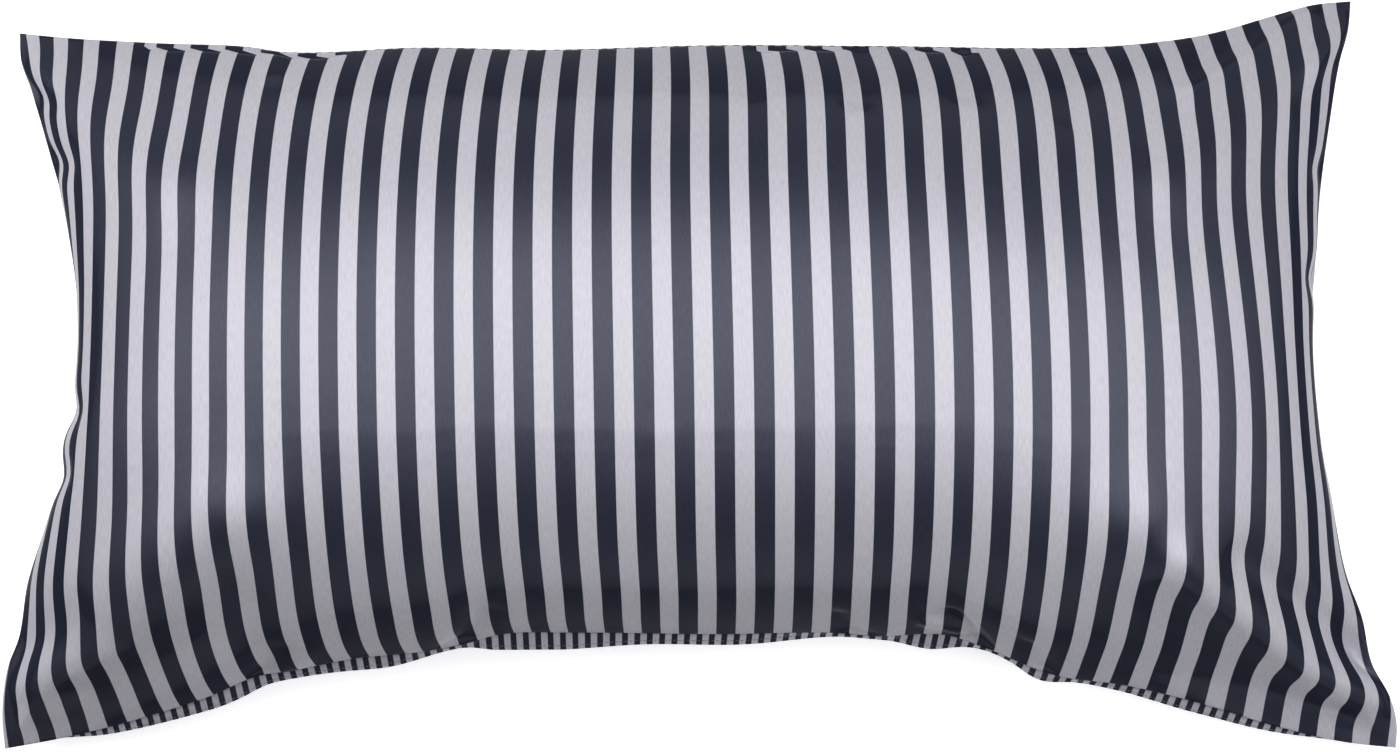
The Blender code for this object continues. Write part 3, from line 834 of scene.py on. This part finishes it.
def stitch_row(places):
    """Closed little domes of thread, one on each stitch of a seam, as points and faces."""
    ends = np.concatenate([[0.0], np.cumsum(np.linalg.norm(np.diff(places, axis=0), axis=1))])
    starts = np.arange(STITCH_STEP, ends[-1] - STITCH_STEP, STITCH_STEP)
    turn = np.linspace(0, 2 * np.pi, STITCH_SIDES, endpoint=False)
    points, faces = [], []
    for start in starts:
        first, last = (np.array([np.interp(at, ends, places[:, k]) for k in range(3)])
                       for at in (start, start + STITCH_LENGTH))
        along = (last - first) / np.linalg.norm(last - first)
        side = np.cross(STITCH_FACES, along)
        up = np.cross(along, side)
        count = len(points)
        for share, size in STITCH_RINGS:
            centre = first + (last - first) * share
            points += [centre + size * (side * STITCH_WIDTH / 2 * math.cos(a)
                                        + up * STITCH_HEIGHT * math.sin(a)) for a in turn]
        for ring in range(len(STITCH_RINGS) - 1):
            base = count + ring * STITCH_SIDES
            faces += [(base + k, base + (k + 1) % STITCH_SIDES,
                       base + STITCH_SIDES + (k + 1) % STITCH_SIDES, base + STITCH_SIDES + k)
                      for k in range(STITCH_SIDES)]
        tail = len(points) - STITCH_SIDES
        faces.append(tuple(count + k for k in reversed(range(STITCH_SIDES))))
        faces.append(tuple(tail + k for k in range(STITCH_SIDES)))
    return points, faces


class PILLOWCASE_OT_hem_stitches(bpy.types.Operator):
    """Sew the row of stitches along the back panel's hem lip"""

    bl_idname = "pillowcase.hem_stitches"
    bl_label = "Hem stitches"

    def execute(self, context):
        sizes = context.scene.case_sizes
        across, along, under = laid_underside(sizes)
        shift = frame_shift(under)
        lip = column(LIP, 1, across)
        shown = lip > LEAST_SEWN_LIP
        edge = under[:, 0] + normals(under)[:, 0] * -GAP + shift
        reach = lip - STITCH_INSET
        row = edge + np.column_stack([0 * lip, -reach, -reach * LIP_FALL])
        points, faces = [], []
        stretches = np.split(np.arange(len(lip)), np.flatnonzero(np.diff(shown)) + 1)
        for stretch in stretches:
            if shown[stretch[0]] and len(stretch) > 2:
                more, sides = stitch_row(row[stretch])
                faces += [tuple(k + len(points) for k in side) for side in sides]
                points += more
        mesh = bpy.data.meshes.new("hem_stitches")
        mesh.from_pydata([tuple(point) for point in points], [], faces)
        mesh.shade_smooth()
        stitches = bpy.data.objects.new("hem_stitches", mesh)
        context.scene.collection.objects.link(stitches)
        stitches.data.materials.append(thread_material())
        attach(stitches, "root")
        return {"FINISHED"}


class PILLOWCASE_OT_studio(bpy.types.Operator):
    """Set up the pale floor, the soft light and the camera over the pillowcase"""

    bl_idname = "pillowcase.studio"
    bl_label = "Studio"

    def execute(self, context):
        look = context.scene.studio_look
        mesh = bpy.data.meshes.new("floor")
        corners = ((-1, -1), (1, -1), (1, 1), (-1, 1))
        mesh.from_pydata([(x * FLOOR_REACH, y * FLOOR_REACH, 0) for x, y in corners],
                         [], [(0, 1, 2, 3)])
        floor = bpy.data.objects.new("floor", mesh)
        context.scene.collection.objects.link(floor)
        floor.data.materials.append(floor_material(look.floor))
        for lamp in LAMPS:
            data = bpy.data.lights.new(lamp.name, "AREA")
            data.shape = "RECTANGLE"
            data.size, data.size_y = lamp.long, lamp.short
            data.energy = look.light_power * lamp.power_share
            light = bpy.data.objects.new(lamp.name, data)
            light.location = (lamp.x, lamp.y, lamp.z)
            light.rotation_euler = (0, math.radians(lamp.tilt), math.radians(lamp.turn))
            light.visible_camera = False
            context.scene.collection.objects.link(light)
        world = bpy.data.worlds.new("room")
        world.use_nodes = True
        world.node_tree.nodes["Background"].inputs["Color"].default_value = (1, 1, 1, 1)
        world.node_tree.nodes["Background"].inputs["Strength"].default_value = look.fill_power
        context.scene.world = world
        eye = bpy.data.cameras.new("camera")
        eye.lens = look.lens
        camera = bpy.data.objects.new("camera", eye)
        camera.location = (0, 0, look.camera_height)
        context.scene.collection.objects.link(camera)
        context.scene.camera = camera
        context.scene.view_settings.view_transform = "Standard"
        context.scene.view_settings.look = "High Contrast"
        return {"FINISHED"}


class PILLOWCASE_PT_panel(bpy.types.Panel):
    """The pillowcase's pieces and sizes"""

    bl_idname = "PILLOWCASE_PT_panel"
    bl_label = "Pillowcase"
    bl_space_type = "VIEW_3D"
    bl_region_type = "UI"
    bl_category = "Pillowcase"

    def draw(self, context):
        layout = self.layout
        for group in ("case_sizes", "stripe_look", "studio_look"):
            settings = getattr(context.scene, group)
            for name in settings.__annotations__:
                layout.prop(settings, name)
        for operator in OPERATORS:
            layout.operator(operator.bl_idname)


GROUPS = {"case_sizes": CaseSizes, "stripe_look": StripeLook, "studio_look": StudioLook}
OPERATORS = (PILLOWCASE_OT_front_panel, PILLOWCASE_OT_back_panel,
             PILLOWCASE_OT_hem_stitches, PILLOWCASE_OT_studio)


def register():
    for name, group in GROUPS.items():
        bpy.utils.register_class(group)
        setattr(bpy.types.Scene, name, bpy.props.PointerProperty(type=group))
    for thing in (*OPERATORS, PILLOWCASE_PT_panel):
        bpy.utils.register_class(thing)


def unregister():
    for thing in (PILLOWCASE_PT_panel, *reversed(OPERATORS)):
        bpy.utils.unregister_class(thing)
    for name, group in reversed(GROUPS.items()):
        delattr(bpy.types.Scene, name)
        bpy.utils.unregister_class(group)


def main():
    register()
    bpy.ops.pillowcase.front_panel()
    bpy.ops.pillowcase.back_panel()
    bpy.ops.pillowcase.hem_stitches()
    bpy.ops.pillowcase.studio()


if __name__ == "__main__":
    main()
